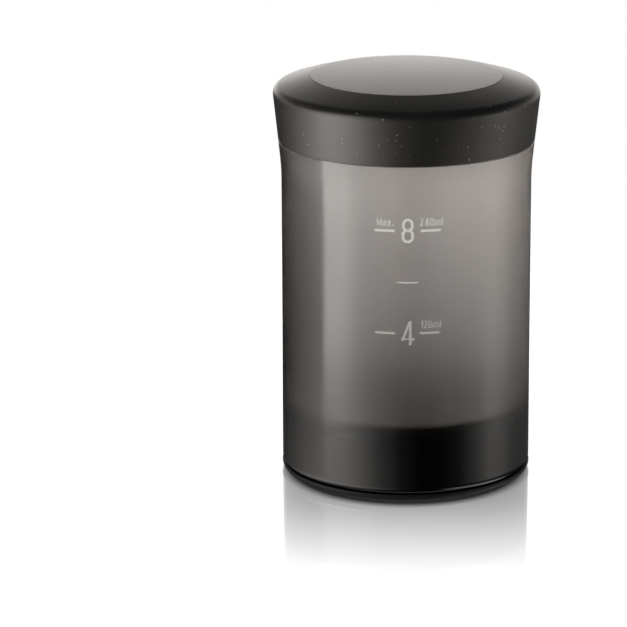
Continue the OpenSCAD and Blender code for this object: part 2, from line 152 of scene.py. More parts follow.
def corner_arc(a, b, c, radius):
    """Points that round corner b between a and c, with a radius that its sides can hold."""
    u, v = (a - b).normalized(), (c - b).normalized()
    half = u.angle(v) / 2
    reach = min(radius / math.tan(half), ARC_REACH * min((a - b).length, (c - b).length))
    r = reach * math.tan(half)
    centre = b + (u + v).normalized() * r / math.sin(half)
    p, q = b + u * reach - centre, b + v * reach - centre
    start = math.atan2(p.y, p.x)
    turn = (math.atan2(q.y, q.x) - start + 3 * math.pi) % (2 * math.pi) - math.pi
    steps = max(ARC_LEAST_STEPS, math.ceil(abs(turn) / ARC_STEP))
    angles = [start + turn * i / steps for i in range(steps + 1)]
    return [centre + r * Vector((math.cos(t), math.sin(t))) for t in angles]


def rounded(corners):
    """Outline through corners of (radius from the axis, height, rounding)."""
    points = []
    for i, (r, z, rounding) in enumerate(corners):
        before, after = corners[i - 1], corners[(i + 1) % len(corners)]
        here = Vector((r, z))
        if rounding > 0:
            points += corner_arc(Vector(before[:2]), here, Vector(after[:2]), rounding)
        else:
            points.append(here)
    return points


def ring_of(bm, point, segments):
    """Vertices of one turn of a profile's point, or its one vertex on the axis."""
    if point.x < TINY:
        return [bm.verts.new((0, 0, point.y))]
    turns = [2 * math.pi * k / segments for k in range(segments)]
    return [bm.verts.new((point.x * math.cos(t), point.x * math.sin(t), point.y)) for t in turns]


def band(bm, low, high):
    """Faces between two rings of a turned form."""
    count = max(len(low), len(high))
    if count == 1:
        return
    for k in range(count):
        m = (k + 1) % count
        corners = [low[k % len(low)], low[m % len(low)], high[m % len(high)], high[k % len(high)]]
        bm.faces.new(list(dict.fromkeys(corners)))


def finish_mesh(bm, name):
    """New object from bm, smooth apart from its sharp edges."""
    bmesh.ops.recalc_face_normals(bm, faces=bm.faces)
    mesh = bpy.data.meshes.new(name)
    bm.to_mesh(mesh)
    bm.free()
    mesh.shade_smooth()
    mesh.set_sharp_from_angle(angle=SHARP_ANGLE)
    obj = bpy.data.objects.new(name, mesh)
    bpy.context.scene.collection.objects.link(obj)
    return obj


def turned(name, corners):
    """Solid of revolution about Z through rounded corners."""
    bm = bmesh.new()
    rings = [ring_of(bm, p, SEGMENTS) for p in rounded(corners)]
    for low, high in zip(rings, rings[1:] + rings[:1]):
        band(bm, low, high)
    return finish_mesh(bm, name)


def dress(obj, body, slot, material, *nodes):
    """Gives a piece its body and material, and hides the CAD nodes that it stands for; its slot is not used.
    """
    obj.data.materials.clear()
    obj.data.materials.append(material)
    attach(obj, body)
    if nodes:
        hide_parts(*nodes)


# Node trees


class Graph:
    """A node tree, and short ways to add nodes to it."""

    def __init__(self, tree):
        self.tree = tree

    def add(self, kind, inputs=None, **settings):
        """New node, whose inputs are values or the outputs of other nodes."""
        node = self.tree.nodes.new(kind)
        for key, value in settings.items():
            setattr(node, key, value)
        for key, value in (inputs or {}).items():
            if isinstance(value, bpy.types.NodeSocket):
                self.tree.links.new(value, node.inputs[key])
            else:
                node.inputs[key].default_value = value
        return node

    def math(self, operation, a, b=0.0):
        """Result of a math operation on numbers."""
        return self.add("ShaderNodeMath", {0: a, 1: b}, operation=operation).outputs[0]

    def product(self, first, *others):
        """All the numbers multiplied."""
        for other in others:
            first = self.math("MULTIPLY", first, other)
        return first

    def vector(self, operation, a, b=(0, 0, 0)):
        """Outputs of a vector operation."""
        return self.add("ShaderNodeVectorMath", {0: a, 1: b}, operation=operation).outputs

    def span(self, value, low, high, to_low=0.0, to_high=1.0, curve="LINEAR"):
        """Value taken from the range low to high to another range, and held at its ends."""
        inputs = {"Value": value, "From Min": low, "From Max": high, "To Min": to_low, "To Max": to_high}
        return self.add("ShaderNodeMapRange", inputs, interpolation_type=curve).outputs["Result"]

    def blend(self, factor, a, b):
        """Number from a to b."""
        return self.add("ShaderNodeMix", {"Factor": factor, 2: a, 3: b}, data_type="FLOAT").outputs[0]

    def mix(self, factor, a, b):
        """Colour from a to b."""
        return self.add("ShaderNodeMix", {"Factor": factor, 6: a, 7: b}, data_type="RGBA").outputs[2]


class Shader(Graph):
    """Node tree of a material with one Principled shader."""

    def __init__(self, name, **values):
        self.material = bpy.data.materials.new(name)
        self.material.use_nodes = True
        super().__init__(self.material.node_tree)
        self.bsdf = self.tree.nodes["Principled BSDF"]
        self.output = self.tree.nodes["Material Output"]
        self.place = self.add("ShaderNodeTexCoord").outputs["Object"]
        for socket, value in values.items():
            self.bsdf.inputs[socket.replace("_", " ")].default_value = value

    def link(self, output, socket):
        """Links an output to the Principled shader."""
        self.tree.links.new(output, self.bsdf.inputs[socket])

    def axes(self):
        """The place's x, y and z."""
        return self.add("ShaderNodeSeparateXYZ", {0: self.place}).outputs

    def noise(self, scale, detail, vector=None):
        """Noise over the piece, or over another vector."""
        inputs = {"Vector": vector or self.place, "Scale": scale, "Detail": detail}
        return self.add("ShaderNodeTexNoise", inputs).outputs["Fac"]

    def uneven(self, noise, low=0.0, high=1.0):
        """Noise that runs from low to high over its middle range."""
        return self.span(noise, *NOISE_RANGE, low, high)

    def bump(self, height, distance, strength):
        """Fine relief of the surface."""
        inputs = {"Height": height, "Distance": distance, "Strength": strength}
        self.link(self.add("ShaderNodeBump", inputs).outputs["Normal"], "Normal")


# Materials

BLACK = (0, 0, 0, 1)
WHITE = (1, 1, 1, 1)
WARM = (1, 0.98, 0.95, 1)
# Parts of a noise's range that are used. The clouds and grains below are noise scales, in cells per metre.
NOISE_RANGE = (0.3, 0.7)
GRAIN_RANGE = (0.25, 0.75)

# Smoke plastic: the bore is frosted up to one radius, and the outside satin from the next
SMOKE_IOR = 1.4
FROSTED_R, SATIN_R = BORE_R + 0.2 * MM, BORE_R + 0.8 * MM
FROSTED_ROUGH, SATIN_ROUGH = (0.8, 0.88), (0.12, 0.16)
SMOKE_GRAIN = 2500
FROSTED_GLOSS = (0.1, 0.1, 0.1, 1)
FLARE_LOW_Z, FLARE_HIGH_Z = WAIST_Z - 14 * MM, WAIST_Z - 2 * MM
# Painted shade: the smoke's tint darkens from the high height down to the low one, as if less light came
# through lower down
SHADE_LOW_Z, SHADE_HIGH_Z = 38 * MM, 100 * MM
SHADED_TINT, LIT_TINT = (0.64, 0.63, 0.62, 1), (1, 0.99, 0.98, 1)
DARK_Z = WIPER_HIGH.z - 5.2 * MM
CLEAR_Z = DARK_Z + 4.4 * MM
SMOKE_COLOUR = (0.3, 0.22, 0.165, 1)
SMOKE_DENSITY = 92.0

# Moulded plastic and its specks
PLASTIC_CLOUD = 60
PLASTIC_GRAIN = 3000
PLASTIC_SPREAD = 0.04
SPECK_CELLS = 760
SPECK_CHOICE = (0.56, 0.58)
SPECK_COLOUR = (0.5, 0.47, 0.42, 1)
SPECK_SIZES = (0.06, 0.15)
SPECK_STRENGTHS = (0.25, 1.0)
# Painted shade on the lid's top: specks there are dimmed to this share, from just below the corner up to it
SPECK_SHADE_Z = LID_CORNER_Z - 2 * MM
SPECK_SHADE_SHARE = 0.4

# Rubber, steel and ink
RUBBER_CLOUD = 90
RUBBER_GRAIN = 2200
RUBBER_TONES = (0.8, 1.25)
RUBBER_SPREAD = 0.06
STEEL_CLOUD = 120
STEEL_DARK, STEEL_LIGHT = (0.56, 0.56, 0.57, 1), (0.68, 0.68, 0.69, 1)
INK_CLOUD = 900
INK_SPREAD = 0.2
INK_SHADED, INK_LIT = (0.38, 0.355, 0.33, 1), (0.65, 0.64, 0.6, 1)


def straight_out(s):
    """Shading normal straight out from the axis."""
    flat = s.vector("MULTIPLY", s.place, (1, 1, 0))[0]
    out = s.add("ShaderNodeVectorTransform", {0: flat}, vector_type="NORMAL", convert_from="OBJECT",
                convert_to="WORLD")
    return s.vector("NORMALIZE", out.outputs[0])[0]


def coat_flare(s, height, outside, roughness):
    """Clear coat that mirrors as a straight wall does, in place of the gloss of the flare under the lid."""
    within = s.add("ShaderNodeNewGeometry").outputs["Backfacing"]
    flare = s.product(outside, s.span(height, FLARE_LOW_Z, FLARE_HIGH_Z), s.math("SUBTRACT", 1.0, within))
    s.link(flare, "Coat Weight")
    s.link(roughness, "Coat Roughness")
    s.link(straight_out(s), "Coat Normal")
    s.link(s.mix(s.math("SUBTRACT", outside, flare), FROSTED_GLOSS, WHITE), "Specular Tint")


def smoke_plastic():
    """Smoke plastic: satin outside, frosted inside, with painted shade that darkens its tint towards the
    base, and black round the floor.
    """
    s = Shader("smoke_plastic", IOR=SMOKE_IOR, Coat_IOR=SMOKE_IOR)
    x, y, z = s.axes()
    square = s.math("ADD", s.math("POWER", x, 2.0), s.math("POWER", y, 2.0))
    outside = s.span(s.math("SQRT", square), FROSTED_R, SATIN_R)
    grain = s.noise(SMOKE_GRAIN, 2)
    roughness = s.blend(outside, s.uneven(grain, *FROSTED_ROUGH), s.uneven(grain, *SATIN_ROUGH))
    s.link(roughness, "Roughness")
    coat_flare(s, z, outside, roughness)
    # Painted shade: the tint is darker towards the base
    tint = s.mix(s.span(z, SHADE_LOW_Z, SHADE_HIGH_Z), SHADED_TINT, LIT_TINT)
    clear = s.math("POWER", s.span(z, DARK_Z, CLEAR_Z), 2.0)
    s.link(s.mix(clear, BLACK, tint), "Base Color")
    s.link(s.math("GREATER_THAN", z, DARK_Z), "Transmission Weight")
    s.bump(grain, 0.01 * MM, 0.2)
    volume = s.add("ShaderNodeVolumeAbsorption", {"Color": SMOKE_COLOUR, "Density": SMOKE_DENSITY})
    s.tree.links.new(volume.outputs[0], s.output.inputs["Volume"])
    return s.material


def moulded_plastic(name, dark, light, rough, specks=False, **values):
    """Moulded plastic with a fine grain, uneven gloss and, where asked for, sparse pale specks."""
    s = Shader(name, **values)
    grain = s.noise(PLASTIC_GRAIN, 2)
    colour = s.mix(s.uneven(s.noise(PLASTIC_CLOUD, 4)), (*dark, 1), (*light, 1))
    if specks:
        colour = s.mix(speck_mask(s), colour, SPECK_COLOUR)
    s.link(colour, "Base Color")
    s.link(s.span(grain, *GRAIN_RANGE, rough - PLASTIC_SPREAD, rough + PLASTIC_SPREAD), "Roughness")
    s.bump(grain, 0.02 * MM, 0.25)
    return s.material


def speck_mask(s):
    """Above 0 on a few small specks, of uneven size and strength and dimmed on top by painted shade, and 0
    between them.
    """
    cells = s.add("ShaderNodeTexVoronoi", {"Vector": s.place, "Scale": SPECK_CELLS})
    pick = s.add("ShaderNodeSeparateColor", {0: cells.outputs["Color"]}).outputs
    chosen = s.span(pick[0], *SPECK_CHOICE)
    size = s.span(pick[1], 0.0, 1.0, *SPECK_SIZES)
    spot = s.math("LESS_THAN", cells.outputs["Distance"], size)
    strength = s.span(pick[2], 0.0, 1.0, *SPECK_STRENGTHS)
    # Painted shade: the specks fade on the lid's top
    top_shade = s.span(s.axes()[2], SPECK_SHADE_Z, LID_CORNER_Z, 1.0, SPECK_SHADE_SHARE)
    return s.product(spot, chosen, strength, top_shade)


def rubber(name, shade, rough):
    """Matt black rubber with a fine grain."""
    s = Shader(name, Specular_IOR_Level=0.15)
    grain = s.noise(RUBBER_GRAIN, 3)
    tones = [(shade * k, shade * k, shade * k * 0.97, 1) for k in RUBBER_TONES]
    s.link(s.mix(s.uneven(s.noise(RUBBER_CLOUD, 4)), *tones), "Base Color")
    s.link(s.span(grain, *GRAIN_RANGE, rough - RUBBER_SPREAD, rough + RUBBER_SPREAD), "Roughness")
    s.bump(grain, 0.03 * MM, 0.3)
    return s.material


def brushed_steel(name, stretch, rough):
    """Steel with fine lines, drawn out along the axes where stretch is small."""
    s = Shader(name, Metallic=1.0)
    lines = s.noise(1.0, 3, s.vector("MULTIPLY", s.place, stretch)[0])
    s.link(s.mix(s.uneven(lines), STEEL_DARK, STEEL_LIGHT), "Base Color")
    s.link(s.uneven(s.noise(STEEL_CLOUD, 3), rough - 0.05, rough + 0.07), "Roughness")
    s.bump(lines, 0.01 * MM, 0.25)
    return s.material


def printing_ink():
    """Pale printing ink, slightly uneven, and darker lower down by painted shade."""
    s = Shader("mark_ink", Roughness=0.55)
    cloud = s.math("MULTIPLY", s.noise(INK_CLOUD, 3), INK_SPREAD)
    # Painted shade: the ink darkens from the 8 down to the 4
    tone = s.math("ADD", s.span(s.axes()[2], FOUR_Z, EIGHT_Z, 0.0, 1.0 - INK_SPREAD), cloud)
    s.link(s.mix(tone, INK_SHADED, INK_LIT), "Base Color")
    return s.material


SMOKE = smoke_plastic()
SPECKLED = moulded_plastic("speckled_plastic", (0.004, 0.004, 0.0038), (0.007, 0.0068, 0.0062), 0.36,
                           specks=True, Specular_IOR_Level=0.75, Specular_Tint=WARM)
PAD_PLASTIC = moulded_plastic("pad_plastic", (0.02, 0.02, 0.0195), (0.028, 0.028, 0.027), 0.24,
                              Specular_IOR_Level=0.6, Specular_Tint=WARM)
BLACK_PLASTIC = moulded_plastic("black_plastic", (0.003, 0.003, 0.003), (0.006, 0.006, 0.0058), 0.42,
                                Specular_IOR_Level=0.2)
GREY_PLASTIC = moulded_plastic("grey_plastic", (0.04, 0.04, 0.04), (0.06, 0.06, 0.059), 0.4)
FOOT_RUBBER = rubber("foot_rubber", 0.004, 0.5)
SILICONE = rubber("silicone", 0.006, 0.58)
STEEL_ROD = brushed_steel("steel_rod", (6000, 6000, 60), 0.26)
STEEL_PLATE = brushed_steel("steel_plate", (60, 5000, 5000), 0.3)
INK = printing_ink()


# Pieces of the vessel


def lower_edge(r, low, width, height, end=90, steps=10):
    """Corners of an outer lower edge, bottom up, on an ellipse that ends at that angle in degrees."""
    turns = [math.radians(end) * (1 - i / steps) for i in range(steps + 1)]
    high = low + height * math.sin(turns[0])
    return [(r - width * (1 - math.cos(t)), high - height * math.sin(t), 0) for t in turns]


def make_chamber():
    """Chamber with its floor, skirt and neck, flared under the lid."""
    body = turned("chamber_body", [
        (0, FLOOR_Z, 0),
        (BORE_R, FLOOR_Z, FLOOR_ROUND),
        (BORE_R, RIM_Z, EDGE),
        (NECK_R, RIM_Z, EDGE),
        (NECK_R, SHOULDER_Z, 0),
        (SHOULDER_R, SHOULDER_Z, EDGE),
        (WAIST_R, WAIST_Z, FLARE_ROUND),
        *lower_edge(LOW_R, SHELL_Z, LOW_ROUND_W, LOW_ROUND_H)[::-1],
        (SKIRT_R, SHELL_Z, EDGE),
        (SKIRT_R, FLOOR_UNDER_Z, EDGE),
        (0, FLOOR_UNDER_Z, 0),
    ])
    dress(body, "vessel", "smoke_plastic", SMOKE, "chamber")


def make_foot():
    """Soft foot ring with a round lower edge."""
    foot = turned("foot_tread", [
        (FOOT_IN_R, FOOT_LOW.z, EDGE),
        *lower_edge(FOOT_R, FOOT_LOW.z, FOOT_ROUND_W, FOOT_ROUND_H, FOOT_ROUND_END),
        (FOOT_R, SHELL_Z, FINE),
        (FOOT_IN_R, SHELL_Z, 0),
    ])
    dress(foot, "vessel", "foot_rubber", FOOT_RUBBER, "foot_ring")


# Level marks


def wall_radius(z):
    """Outer radius of the chamber at a height below its waist."""
    share = (z - SHELL_Z) / (WAIST_Z - SHELL_Z)
    return LOW_R + (WAIST_R - LOW_R) * share


def on_wall(u, z):
    """Point a little proud of the chamber's front, u along its curve from the front line."""
    r = wall_radius(z) + MARK_PROUD
    return Vector((r * math.sin(u / r), -r * math.cos(u / r), z))


def arc(x, y, rx, ry, start, end, steps=14):
    """Points of an elliptic arc, with its angles in degrees."""
    turns = [math.radians(start + (end - start) * i / steps) for i in range(steps + 1)]
    return [(x + rx * math.cos(t), y + ry * math.sin(t)) for t in turns]


# Each sign's width and its strokes, with the height of a capital as 1
SIGNS = {
    "8": (0.40, [
        arc(0.2, 0.79, 0.195, 0.21, 0, 180) + arc(0.2, 0.715, 0.195, 0.2, 180, 360) + [(0.395, 0.79)],
        arc(0.2, 0.32, 0.215, 0.2, 0, 180) + arc(0.2, 0.22, 0.215, 0.22, 180, 360) + [(0.415, 0.32)],
    ]),
    "wide 4": (0.56, [[(0.58, 0.21), (0.07, 0.21), (0.37, 1.0)], [(0.405, -0.05), (0.405, 1.05)]]),
    "4": (0.48, [[(0.52, 0.24), (0.02, 0.24), (0.34, 1.0)], [(0.37, -0.07), (0.37, 1.07)]]),
    "0": (0.38, [arc(0.19, 0.8, 0.19, 0.2, 0, 180) + arc(0.19, 0.2, 0.19, 0.2, 180, 360) + [(0.38, 0.8)]]),
    "1": (0.18, [[(0.0, 0.82), (0.15, 1.0), (0.15, -0.07)]]),
    "2": (0.38, [arc(0.18, 0.79, 0.18, 0.21, 170, -35) + [(0.0, 0.0), (0.4, 0.0)]]),
    "M": (0.62, [[(0.0, -0.07), (0.0, 1.0), (0.31, 0.1), (0.62, 1.0), (0.62, -0.07)]]),
    "a": (0.36, [
        arc(0.18, 0.5, 0.17, 0.19, 160, 0) + [(0.35, -0.07)],
        [(0.35, 0.4)] + arc(0.15, 0.2, 0.14, 0.2, 90, 300),
    ]),
    "x": (0.36, [[(0.0, -0.05), (0.36, 0.72)], [(0.0, 0.72), (0.36, -0.05)]]),
    "m": (0.74, [
        [(0.0, -0.07), (0.0, 0.72)],
        arc(0.185, 0.5, 0.185, 0.2, 180, 0) + [(0.37, -0.07)],
        arc(0.555, 0.5, 0.185, 0.2, 180, 0) + [(0.74, -0.07)],
    ]),
    "l": (0.06, [[(0.03, -0.07), (0.03, 1.07)]]),
    ".": (0.2, [[(0.0, 0.0), (0.2, 0.0)], [(0.0, 0.12), (0.2, 0.12)]]),
}
SIGN_GAP = 0.27
MITRE_LIMIT = 0.35


def ribbon(bm, points, width):
    """Flat band of that width along points (u, z) on the chamber's front, with mitred bends."""
    closed = (Vector(points[0]) - Vector(points[-1])).length < TINY
    path = [Vector(p) for p in (points[:-1] if closed else points)]
    count = len(path)
    sides = []
    for i, p in enumerate(path):
        back = path[i - 1] if closed or i > 0 else None
        ahead = path[(i + 1) % count] if closed or i < count - 1 else None
        before = (p - back).normalized() if back else (ahead - p).normalized()
        after = (ahead - p).normalized() if ahead else before
        normal = Vector((-(before + after).y, (before + after).x)).normalized()
        reach = width / 2 / max(MITRE_LIMIT, normal.dot(Vector((-after.y, after.x))))
        sides.append([bm.verts.new(on_wall(*(p + normal * reach * k))) for k in (1, -1)])
    for a, b in zip(sides, sides[1:] + (sides[:1] if closed else [])):
        bm.faces.new((a[0], a[1], b[1], b[0]))


def write(bm, signs, left, low, height, line):
    """Draws signs from left to right on the chamber's front."""
    inner = height - line
    for sign in signs:
        width, strokes = SIGNS[sign]
        for stroke in strokes:
            ribbon(bm, [(left + x * inner, low + line / 2 + y * inner) for x, y in stroke], line)
        left += (width + SIGN_GAP) * inner


def dash(bm, middle, z, line=DASH_LINE):
    """Level dash about its middle on the chamber's front."""
    steps = [middle + DASH_W * (i / DASH_STEPS - 0.5) for i in range(DASH_STEPS + 1)]
    ribbon(bm, [(u, z) for u in steps], line)


def make_marks():
    """Printed scale: two numbers with their dashes and volumes, and a dash between them."""
    bm = bmesh.new()
    for number, z, aside in NUMBERS:
        width = SIGNS[number][0] * (NUMBER_H - NUMBER_LINE)
        write(bm, [number], MARK_CENTRE - width / 2, z - NUMBER_H / 2, NUMBER_H, NUMBER_LINE)
        dash(bm, MARK_CENTRE - aside, z)
        dash(bm, MARK_CENTRE + aside, z)
    dash(bm, MARK_CENTRE, MIDDLE_Z, MIDDLE_LINE)
    for word, left, z in WORDS:
        write(bm, word, MARK_CENTRE + left, z + WORD_RISE - WORD_H / 2, WORD_H, WORD_LINE)
    marks = finish_mesh(bm, "level_marks")
    dress(marks, "vessel", "grey_plastic", INK)


# Pieces of the lid


def slot_cutter(bm, turn):
    """Prism of one pour slot with round ends."""
    end = SLOT_W / 2
    near, far = SLOT_IN_R + end, SLOT_OUT_R - end
    outline = arc(near, 0, end, end, 90, 270) + arc(far, 0, end, end, -90, 90)
    cos, sin = math.cos(turn), math.sin(turn)
    rings = [
        [bm.verts.new((x * cos - y * sin, x * sin + y * cos, z)) for x, y in outline]
        for z in (DECK_UNDER_Z - CUT_MARGIN, DECK_Z + CUT_MARGIN)
    ]
    band(bm, *rings)
    for ring in rings:
        bm.faces.new(ring)


def pocket_cutter(bm):
    """Cylinder of the pocket for the rod's bush."""
    top = DECK_Z + CUT_MARGIN
    profile = [(0, BUSH_POCKET_Z), (BUSH_POCKET_R, BUSH_POCKET_Z), (BUSH_POCKET_R, top), (0, top)]
    rings = [ring_of(bm, Vector(p), CUTTER_SEGMENTS) for p in profile]
    for low, high in zip(rings, rings[1:]):
        band(bm, low, high)


def lid_cutter():
    """The finger scoop, the pour slots and the pocket of the rod's bush, as one cutting shape."""
    bm = bmesh.new()
    scoop = bmesh.ops.create_uvsphere(bm, u_segments=CUTTER_SEGMENTS, v_segments=SCOOP_RINGS, radius=SCOOP_R)
    bmesh.ops.translate(bm, verts=scoop["verts"], vec=SCOOP_CENTRE)
    for i in range(SLOTS):
        slot_cutter(bm, 2 * math.pi * i / SLOTS)
    pocket_cutter(bm)
    return finish_mesh(bm, "lid_cutter")


def cut(obj, cutter):
    """Takes the cutter out of obj and keeps the result as obj's mesh."""
    modifier = obj.modifiers.new("cut", "BOOLEAN")
    modifier.operation, modifier.solver, modifier.object = "DIFFERENCE", "EXACT", cutter
    graph = bpy.context.evaluated_depsgraph_get()
    mesh = bpy.data.meshes.new_from_object(obj.evaluated_get(graph))
    obj.modifiers.clear()
    obj.data = mesh
    bpy.data.objects.remove(cutter)
    mesh.shade_smooth()
    mesh.set_sharp_from_angle(angle=SHARP_ANGLE)


def bevel_point(share):
    """Corner of the lid's slightly convex top, a share of the way from its shoulder to the pad's seat."""
    bulge = BEVEL_BULGE * 4 * share * (1 - share)
    return (LID_R + (SEAT_R - LID_R) * share, LID_CORNER_Z + (BEVEL_Z - LID_CORNER_Z) * share + bulge, 0)


def make_lid():
    """Flared lid with a seat for the pad, a deck with pour slots, and the finger scoop."""
    lid = turned("lid_cap", [
        (SHOULDER_R, LID_LOW.z, FINE),
        (LID_R, LID_CORNER_Z, LID_ROUND),
        *[bevel_point(share) for share in BEVEL_SHARES],
        (SEAT_R, BEVEL_Z, SEAM_ROUND),
        (SEAT_R, SEAT_Z, 0),
        (RECESS_R, SEAT_Z, EDGE),
        (RECESS_R, DECK_Z, EDGE),
        (GLAND_IN_R, DECK_Z, 0),
        (GLAND_IN_R, DECK_UNDER_Z, 0),
        (LID_IN_R, DECK_UNDER_Z, EDGE),
        (LID_IN_R, LID_LOW.z, 0),
    ])
    cut(lid, lid_cutter())
    dress(lid, "lid", "speckled_plastic", SPECKLED, "lid_shell")


# Pieces of the press


def make_pad():
    """Crowned disc with the plug that carries its seal."""
    steps = [i / CROWN_STEPS for i in range(CROWN_STEPS)]
    crown = [(PAD_R * k, PAD_Z + PAD_CROWN * (1 - k * k), 0) for k in steps]
    pad = turned("press_disc", crown + [
        (PAD_R, PAD_Z, SEAM_ROUND),
        (PAD_R, PAD_RIM_Z, EDGE),
        (PAD_PLUG_R, PAD_RIM_Z, 0),
        (PAD_PLUG_R, PAD_LOW.z, EDGE),
        (PAD_RING_IN_R, PAD_LOW.z, EDGE),
        (PAD_RING_IN_R, PAD_UNDER_Z, 0),
        (BOSS_HOLE_R, PAD_UNDER_Z, 0),
        (BOSS_HOLE_R, HUB_HIGH.z, 0),
        (0, HUB_HIGH.z, 0),
    ])
    dress(pad, "press", "pad_plastic", PAD_PLASTIC, "press_pad")


def dress_cad_nodes():
    """Materials of the CAD nodes that stay."""
    finishes = {
        BLACK_PLASTIC: ["base_cap", "lid_liner"],
        SILICONE: ["base_seal", "lid_gasket", "rod_seal", "pad_seal", "wiper_ring"],
        GREY_PLASTIC: ["rod_bush", "gland_nut", "pad_hub"],
        STEEL_ROD: ["press_rod", "filter_collar", "filter_nut"],
        STEEL_PLATE: ["filter_top_plate", "filter_screen", "filter_low_plate"],
    }
    for material, names in finishes.items():
        for name in names:
            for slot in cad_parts[name].material_slots:
                slot.material = material


# Floor

FLOOR_RADII = (0.0, 0.06, 0.12, 0.2, 0.3, 0.42)
FLOOR_SEGMENTS = 128
FLOOR_COLOUR = (0.9, 0.9, 0.9, 1)
FLOOR_GLOW = 0.6
FLOOR_FADE = (0.16, 0.36)
SHINE = 0.73
SHINE_R = (FOOT_R * 0.9, FOOT_R * 4.0)
# Painted contact shadow round the foot: its radii, its darkest tone and its centre, set towards the front
CONTACT_SHADOW_R = (FOOT_R * 0.9, FOOT_R * 1.01)
CONTACT_SHADOW_TONE = 0.1
CONTACT_SHADOW_CENTRE = (0, -4.0 * MM, 0)


def floor_material():
    """White table top with a painted contact shadow round the foot, and a gloss that fades out; clear at the
    rim and from below.
    """
    s = Shader("floor_white", Roughness=0.6, Emission_Color=WHITE)
    square = s.vector("MULTIPLY", s.place, s.place)[0]
    away = s.math("POWER", s.vector("DOT_PRODUCT", square, square)["Value"], 0.25)
    # Painted contact shadow: darkens the floor's colour, glow and gloss near the foot
    contact_shadow = s.span(s.vector("DISTANCE", s.place, CONTACT_SHADOW_CENTRE)["Value"], *CONTACT_SHADOW_R, CONTACT_SHADOW_TONE, 1.0)
    s.link(s.mix(contact_shadow, BLACK, FLOOR_COLOUR), "Base Color")
    seen = s.add("ShaderNodeLightPath").outputs["Is Camera Ray"]
    s.link(s.product(seen, contact_shadow, FLOOR_GLOW), "Emission Strength")
    tone = s.mix(contact_shadow, BLACK, WHITE)
    gloss = s.add("ShaderNodeBsdfGlossy", {"Color": tone, "Roughness": 0.0}).outputs[0]
    shine = s.span(away, *SHINE_R, SHINE, 0.0)
    polished = s.add("ShaderNodeMixShader", {0: shine, 1: s.bsdf.outputs[0], 2: gloss}).outputs[0]
    clear = s.add("ShaderNodeBsdfTransparent").outputs[0]
    under = s.add("ShaderNodeNewGeometry").outputs["Backfacing"]
    gone = s.math("MAXIMUM", s.span(away, *FLOOR_FADE), under)
    fade = s.add("ShaderNodeMixShader", {0: gone, 1: polished, 2: clear}).outputs[0]
    s.tree.links.new(fade, s.output.inputs["Surface"])
    return s.material


def make_floor():
    """Round white table top that fades into the white background."""
    bm = bmesh.new()
    rings = [ring_of(bm, Vector((r, 0)), FLOOR_SEGMENTS) for r in FLOOR_RADII]
    for low, high in zip(rings, rings[1:]):
        band(bm, low, high)
    floor = finish_mesh(bm, "floor")
    floor.data.flip_normals()
    floor.data.materials.append(floor_material())
    floor.visible_glossy = False
    floor.visible_transmission = False


# World: a direction's x is to the right of the marks, its y away from them and its z up

SOFT_LEVEL = 0.7
STRIP_LEVEL = 2.7
GLOW_LEVEL = 2.1
GLOW_FRONT = 0.1
GLOSS_COLOUR = (1.02, 0.985, 0.95, 1)
# Tones by degrees round from the marks, with the right side positive
SIDE_TONES = [
    (-180, 0.02), (-150, 0.03), (-130, 0.12), (-117, 0.26), (-101, 0.54), (-88, 0.82), (-76, 1.0),
    (-59, 0.95), (-44, 0.75), (-24, 0.29), (-5, 0.06), (13, 0.015), (32, 0.015), (52, 0.06),
    (74, 0.34), (85, 0.55), (98, 0.4), (114, 0.16), (129, 0.07), (150, 0.03), (180, 0.02),
]
STRIP_TONES = [
    (-180, 0.02), (-84, 0.04), (-80, 1.0), (-58, 1.0), (-42, 0.42), (-24, 0.14), (0, 0.26), (20, 0.43),
]
# Tones by height, where 0 is straight down and 1 straight up
BACKDROP_TONES = [
    (0.36, 0.35), (0.41, 0.6), (0.45, 0.8), (0.5, 0.98), (0.546, 1.09), (0.566, 1.0), (0.591, 0.54),
    (0.641, 0.25), (0.716, 0.23), (0.805, 0.09), (0.84, 0.035), (0.9, 0.018), (1.0, 0.01),
]
# Soft steps along z between what the lid's side, the chamber's wall and its lower edge mirror
LID_STEP = (-0.41, -0.335)
WALL_RISE, WALL_FALL = (-0.305, -0.296), (-0.2, -0.12)
LIFT_RISE, LIFT_FALL = (-0.32, -0.296), (-0.288, -0.242)
EDGE_STEP = (-0.75, -0.55)
FRONT_LINE_RISE, FRONT_LINE_FALL = (-0.9, -0.86), (-0.82, -0.78)
RIGHT_LINE_RISE, RIGHT_LINE_FALL = (-0.76, -0.7), (-0.62, -0.56)
# Soft steps along z and y of the backdrop and of the dark flags behind the brewer
HORIZON = (-0.08, 0.03)
HIGH_STEP = (0.25, 0.55)
BEHIND_STEP = (-0.2, 0.6)
FLAG_STEP = (-0.1, 0.5)


